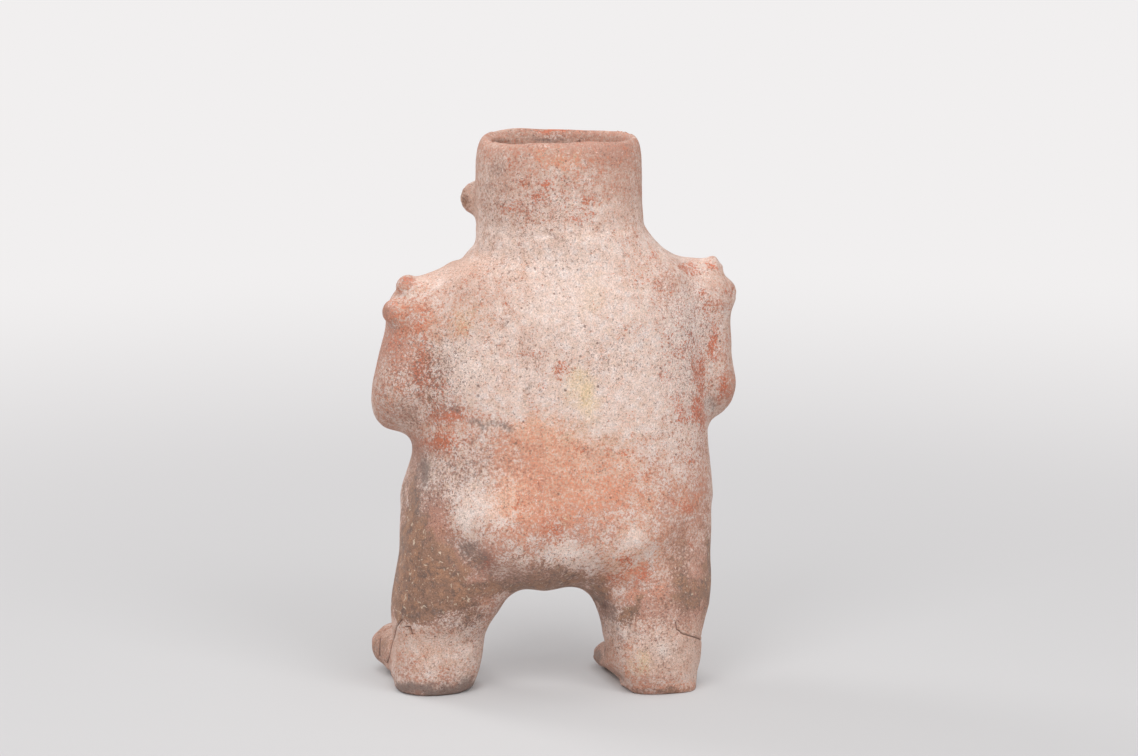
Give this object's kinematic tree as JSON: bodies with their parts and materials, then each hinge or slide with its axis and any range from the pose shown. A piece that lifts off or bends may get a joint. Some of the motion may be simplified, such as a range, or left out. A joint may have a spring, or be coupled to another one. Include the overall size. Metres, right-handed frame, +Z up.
{
  "type": "terracotta figurine",
  "caption": "Hollow standing clay figure whose head is an open collar, with bent arm rolls, shoulder pellets and thick legs on heavy feet.",
  "frame": {"origin": "middle of the figure's outline on the floor that it stands on", "axes": "+Z up from the soles to the rim; the figure faces -Y, so its left side is +X and its pictured back is +Y"},
  "size_m": [0.2037, 0.1148, 0.3011],
  "materials": {
    "crusted_clay": "matt fired clay under a pale pinkish crust",
    "red_clay": "matt orange-red slip, half covered by a pale crust",
    "brown_clay": "slightly burnished brown slip with pale flecks"
  },
  "bodies": {
    "root": {"body": "crusted_clay", "head": "crusted_clay", "left_leg": "brown_clay", "right_leg": "red_clay", "left_foot": "crusted_clay", "right_foot": "crusted_clay", "left_ear": "crusted_clay", "right_ear": "crusted_clay", "nose": "crusted_clay", "left_eye": "crusted_clay", "right_eye": "crusted_clay", "mouth": "crusted_clay", "left_arm": "red_clay", "left_upper_pellet": "red_clay", "left_lower_pellet": "red_clay", "right_arm": "red_clay", "right_upper_pellet": "red_clay", "right_lower_pellet": "red_clay"}
  },
  "joints": []
}
